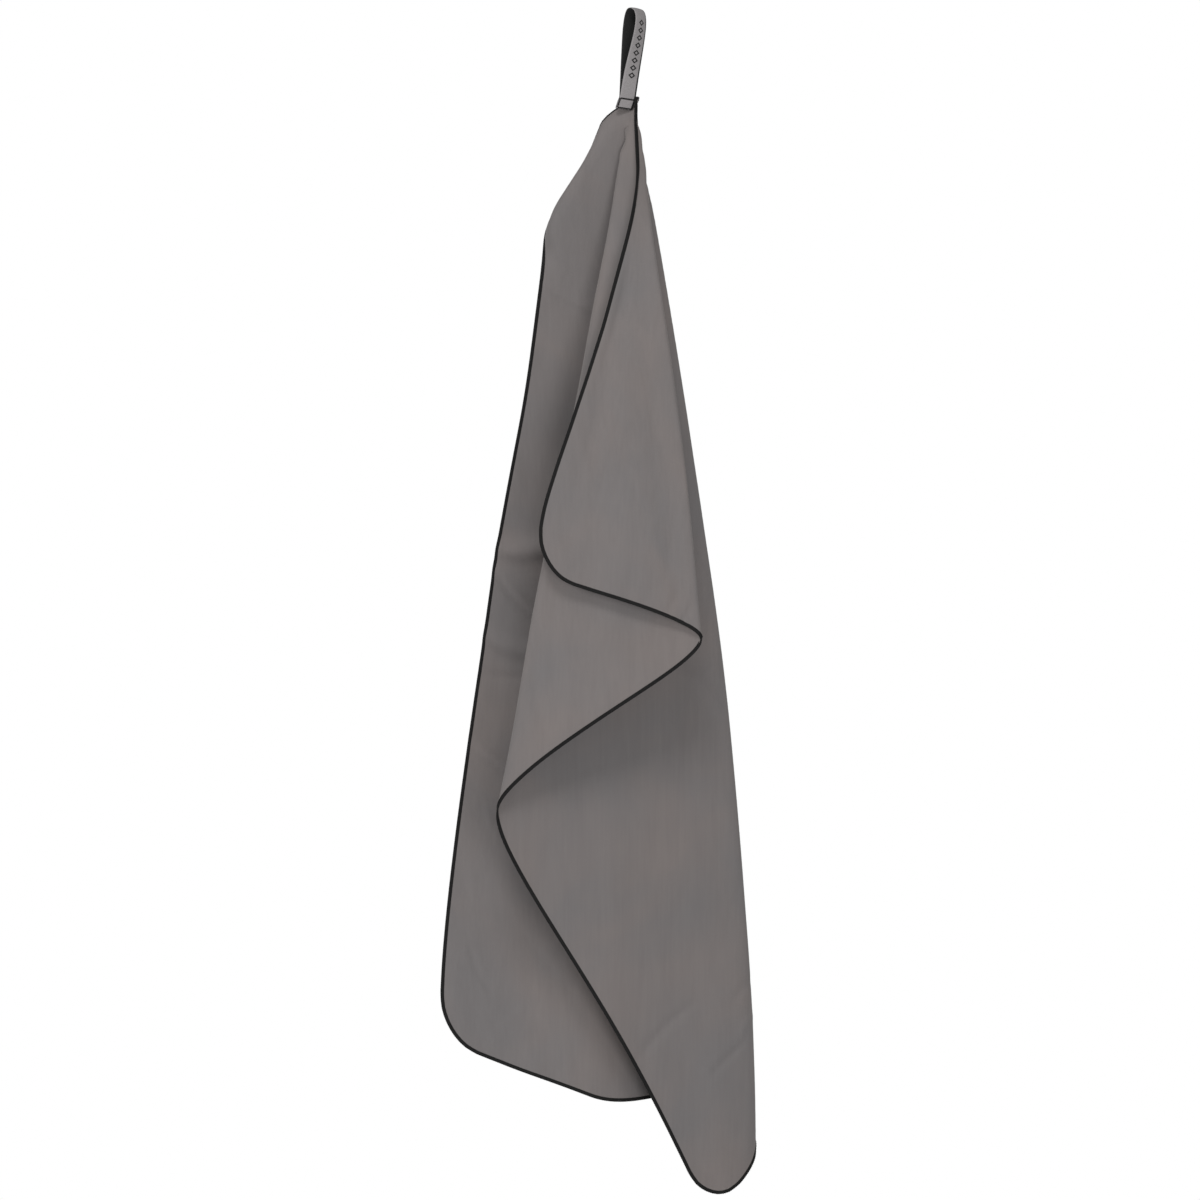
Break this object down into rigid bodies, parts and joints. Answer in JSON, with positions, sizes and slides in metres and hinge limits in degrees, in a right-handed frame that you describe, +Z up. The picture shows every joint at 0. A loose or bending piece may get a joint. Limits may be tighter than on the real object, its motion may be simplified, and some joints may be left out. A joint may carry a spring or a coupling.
{
  "type": "quick dry towel",
  "caption": "Thin microfibre travel towel with rounded corners and a black overlocked edge, hanging in folds from a woven loop sewn to one corner.",
  "frame": {"origin": "inside of the loop's top, where the hook that carries the towel bears", "axes": "+Z up; -Y towards the viewer, the side that shows the short front edge; +X to the viewer's right"},
  "size_m": [0.3768, 0.1716, 1.4048],
  "materials": {
    "microfibre": "matte",
    "overlock_thread": "matte",
    "woven_tape": "matte",
    "sewing_thread": "satin"
  },
  "bodies": {
    "loop": {"loop_tape": "woven_tape"},
    "towel": {"towel_cloth": "microfibre", "edge_overlock": "overlock_thread", "loop_end_front": "woven_tape", "loop_end_back": "woven_tape", "box_stitch": "sewing_thread"}
  },
  "joints": [
    {"name": "stitch_line", "type": "hinge", "parent": "loop", "child": "towel", "pos_m": [-0.0101, -0.00429, -0.10442], "axis": [0.9155, 0.3886, -0.1045], "range_deg": [-90, 90]}
  ]
}
